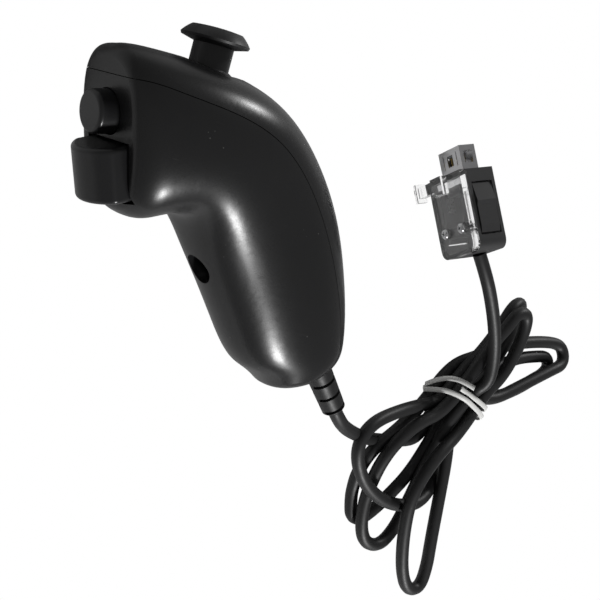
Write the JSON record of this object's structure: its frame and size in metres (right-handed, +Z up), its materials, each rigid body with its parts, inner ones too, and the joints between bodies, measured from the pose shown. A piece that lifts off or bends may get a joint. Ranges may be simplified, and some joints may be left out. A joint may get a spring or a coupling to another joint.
{
  "type": "one-handed motion game controller",
  "caption": "One-handed motion game controller with a thumb stick, a round button, a trigger and a tied cord that ends in a latching plug.",
  "frame": {"origin": "bottom centre of the controller's own box as it lies on its right side, without cord, hank and plug", "axes": "+X from the head towards the tail, +Y from belly to back along the thumb stick, +Z up, from the controller's right side to its left side"},
  "size_m": [0.2225, 0.1539, 0.0422],
  "materials": {
    "shell_plastic": "fine grained satin black",
    "stick_plastic": "soft matt black",
    "button_plastic": "smooth black",
    "cord_rubber": "satin black",
    "inner_plastic": "dark grey",
    "board": "green laminate",
    "chip": "black",
    "white_plastic": "white",
    "steel": "bright steel",
    "sheath_metal": "plated steel",
    "contact_gold": "gold plated",
    "clear_plastic": "clear",
    "dome_rubber": "grey silicone",
    "wire_cover": "red and other thin wire covers"
  },
  "bodies": {
    "controller": {"upper_shell": "shell_plastic", "lower_shell": "shell_plastic", "main_board": "board", "board_screws": "steel", "controller_chip": "chip", "motion_sensor_chip": "chip", "cable_socket": "white_plastic", "cable_crimp_plug": "white_plastic", "inner_wires": "wire_cover", "stick_module_base": "steel", "stick_module_cover": "steel", "stick_sensor_sideways": "inner_plastic", "stick_sensor_lengthways": "inner_plastic", "stick_spring": "steel", "round_button_dome": "dome_rubber", "button_board": "board", "trigger_dome": "dome_rubber", "trigger_pin": "steel", "trigger_spring": "steel", "case_screw": "steel", "strain_relief": "cord_rubber", "cable_lead": "cord_rubber", "cable_hank": "cord_rubber", "cable_tail": "cord_rubber", "twist_tie": "white_plastic", "plug_housing": "shell_plastic", "plug_cover": "clear_plastic", "plug_screws": "steel", "plug_sheath": "sheath_metal", "contact_block": "chip", "contact_pins": "contact_gold"},
    "lower_rocker": {"stick_lower_rocker": "inner_plastic", "stick_cross_pin": "steel"},
    "thumbstick": {"thumbstick": "stick_plastic", "stick_post": "white_plastic"},
    "upper_rocker": {"stick_upper_rocker": "inner_plastic"},
    "round_button": {"round_button": "button_plastic"},
    "trigger": {"trigger": "button_plastic"},
    "upper_lever": {"squeeze_lever_upper": "shell_plastic", "latch_hook_upper": "steel"},
    "lower_lever": {"squeeze_lever_lower": "shell_plastic", "latch_hook_lower": "steel"}
  },
  "joints": [
    {"name": "stick_forward_tilt", "type": "hinge", "parent": "controller", "child": "lower_rocker", "pos_m": [-0.02211, 0.02734, 0.0191], "axis": [0, 0, 1], "range_deg": [-15, 15], "stiffness_Nm_per_rad": 0.03},
    {"name": "stick_side_tilt", "type": "hinge", "parent": "lower_rocker", "child": "thumbstick", "pos_m": [-0.02211, 0.02734, 0.0191], "axis": [1, 0, 0], "range_deg": [-15, 15], "stiffness_Nm_per_rad": 0.03},
    {"name": "upper_rocker_turn", "type": "hinge", "parent": "controller", "child": "upper_rocker", "pos_m": [-0.02211, 0.02734, 0.0191], "axis": [1, 0, 0], "range_deg": [-15, 15]},
    {"name": "round_button_press", "type": "slide", "parent": "controller", "child": "round_button", "axis": [0.9763, 0.2164, 0], "range_m": [0, 0.001], "stiffness_N_per_m": 400, "deforming": ["round_button_dome"]},
    {"name": "trigger_pull", "type": "hinge", "parent": "controller", "child": "trigger", "pos_m": [-0.04062, 0.01314, 0.0191], "axis": [0, 0, 1], "range_deg": [0, 6], "stiffness_Nm_per_rad": 0.15, "deforming": ["trigger_dome", "trigger_spring"]},
    {"name": "upper_lever_squeeze", "type": "hinge", "parent": "controller", "child": "upper_lever", "pos_m": [0.08702, 0.01539, 0.02498], "axis": [-0.9359, -0.3023, -0.1809], "range_deg": [0, 2.2], "stiffness_Nm_per_rad": 0.5},
    {"name": "lower_lever_squeeze", "type": "hinge", "parent": "controller", "child": "lower_lever", "pos_m": [0.0917, 0.00951, 0.01063], "axis": [0.9359, 0.3023, 0.1809], "range_deg": [0, 2.2], "stiffness_Nm_per_rad": 0.5}
  ],
  "couplings": [
    {"joint": "upper_rocker_turn", "follows": "stick_side_tilt", "ratio": 1}
  ]
}
